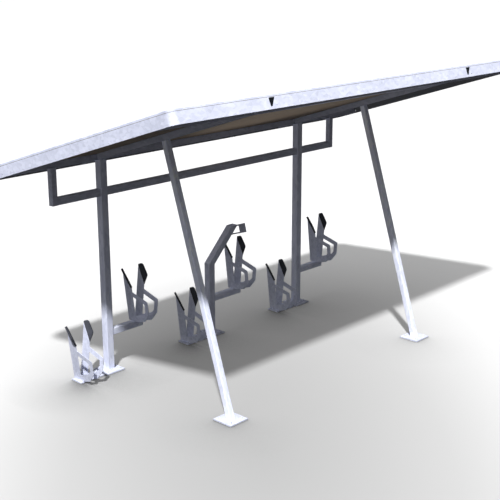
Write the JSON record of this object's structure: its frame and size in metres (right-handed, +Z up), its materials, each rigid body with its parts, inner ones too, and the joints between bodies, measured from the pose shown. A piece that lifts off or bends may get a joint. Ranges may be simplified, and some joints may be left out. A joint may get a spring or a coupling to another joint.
{
  "type": "bicycle shelter",
  "caption": "Open bicycle shelter: a sloping steel-edged roof on upright rear and leaning front posts, with wheel holders on arms beside the posts and a swan-necked locking post.",
  "frame": {"origin": "On the ground, in the middle of the roof's outline seen from above.", "axes": "+X along the shelter's length, +Y to the low rear side, +Z up. The open, high front faces -Y."},
  "size_m": [4.94, 2.4916, 2.9237],
  "materials": {
    "galvanised_frame": "hot-dip galvanised, matt with a spangled grain",
    "galvanised_edge": "hot-dip galvanised, matt with a spangled grain",
    "roof_boards": "plain board, matt",
    "roof_skin": "roofing membrane, matt",
    "pads": "black, satin"
  },
  "bodies": {
    "root": {"rear_post_left": "galvanised_frame", "rear_post_right": "galvanised_frame", "front_post_left": "galvanised_frame", "front_post_right": "galvanised_frame", "middle_post": "galvanised_frame", "locking_eye": "galvanised_frame", "rear_base_left": "galvanised_frame", "rear_base_right": "galvanised_frame", "front_base_left": "galvanised_frame", "front_base_right": "galvanised_frame", "middle_base": "galvanised_frame", "rear_rail_left": "galvanised_frame", "rear_rail_middle": "galvanised_frame", "rear_rail_right": "galvanised_frame", "hanger_left": "galvanised_frame", "hanger_right": "galvanised_frame", "rafter_left": "galvanised_frame", "rafter_right": "galvanised_frame", "front_purlin": "galvanised_frame", "rear_purlin": "galvanised_frame", "roof_board_1": "roof_boards", "roof_board_2": "roof_boards", "roof_board_3": "roof_boards", "roof_board_4": "roof_boards", "roof_skin": "roof_skin", "roof_edge_front": "galvanised_edge", "roof_edge_rear": "galvanised_edge", "roof_edge_left": "galvanised_edge", "roof_edge_right": "galvanised_edge", "high_arm_left": "galvanised_frame", "high_arm_middle": "galvanised_frame", "high_arm_right": "galvanised_frame", "low_foot_left": "galvanised_frame", "low_foot_middle": "galvanised_frame", "low_foot_right": "galvanised_frame", "high_holder_left": "galvanised_frame", "high_holder_middle": "galvanised_frame", "high_holder_right": "galvanised_frame", "low_holder_left": "galvanised_frame", "low_holder_middle": "galvanised_frame", "low_holder_right": "galvanised_frame", "high_pads": "pads", "low_pads": "pads"}
  },
  "joints": []
}
